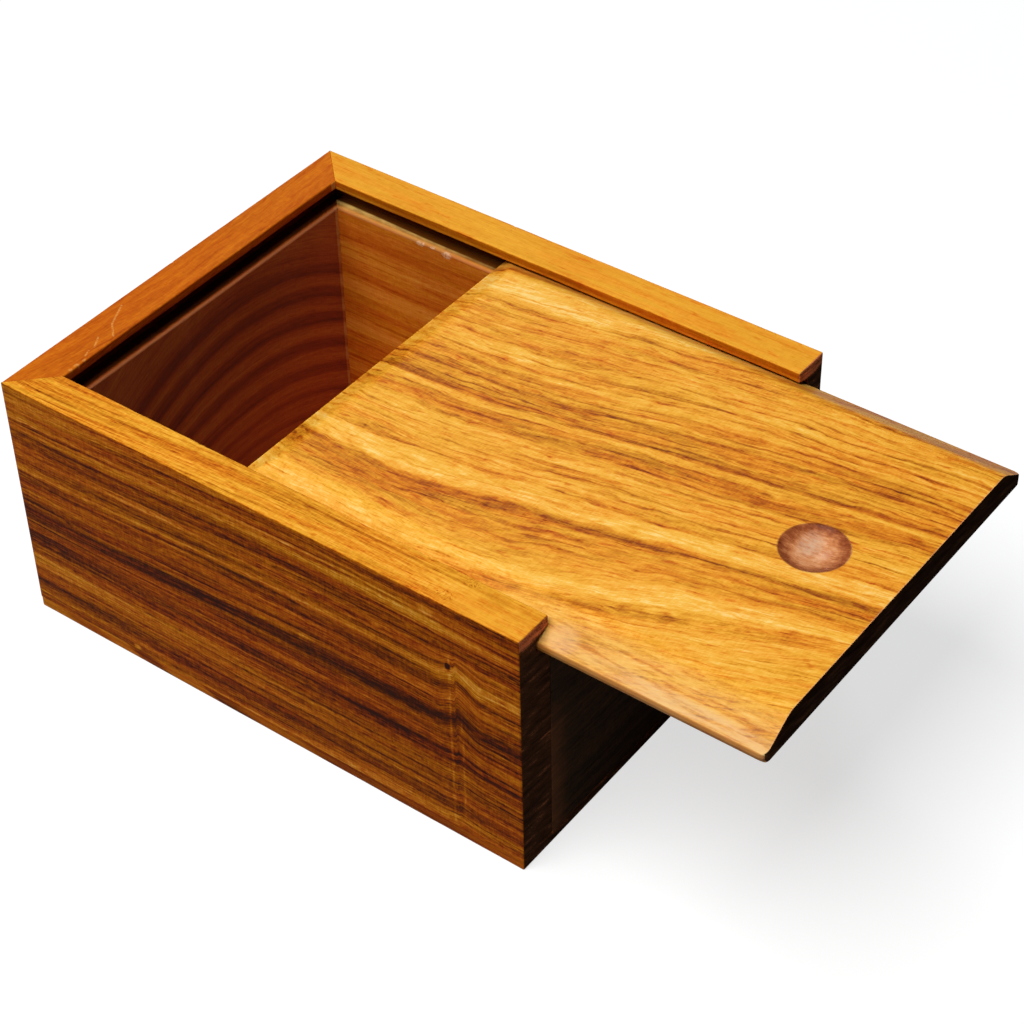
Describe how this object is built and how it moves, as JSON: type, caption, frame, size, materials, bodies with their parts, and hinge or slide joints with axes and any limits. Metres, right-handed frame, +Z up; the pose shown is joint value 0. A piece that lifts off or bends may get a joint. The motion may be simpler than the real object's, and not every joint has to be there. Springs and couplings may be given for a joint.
{
  "type": "sliding lid wooden box",
  "caption": "Small rectangular hardwood box whose raised-panel lid slides in a groove and is pushed with a fingertip in a round dish.",
  "frame": {"origin": "middle of the box's underside, on the surface that it stands on", "axes": "+X towards the open front end, the way the lid slides out, +Y towards the left side wall, +Z up"},
  "size_m": [0.206, 0.12, 0.0712],
  "materials": {
    "wall_wood": "satin oiled, streaked golden brown",
    "bottom_wood": "satin oiled, reddish brown",
    "lid_wood": "satin oiled, streaked amber"
  },
  "bodies": {
    "box": {"side_wall_left": "wall_wood", "side_wall_right": "wall_wood", "end_wall_closed": "wall_wood", "end_wall_front": "wall_wood", "bottom_board": "bottom_wood"},
    "lid": {"sliding_lid": "lid_wood"}
  },
  "joints": [
    {"name": "lid_slide", "type": "slide", "parent": "box", "child": "lid", "axis": [1, 0, 0], "range_m": [-0.056, 0.09]}
  ]
}
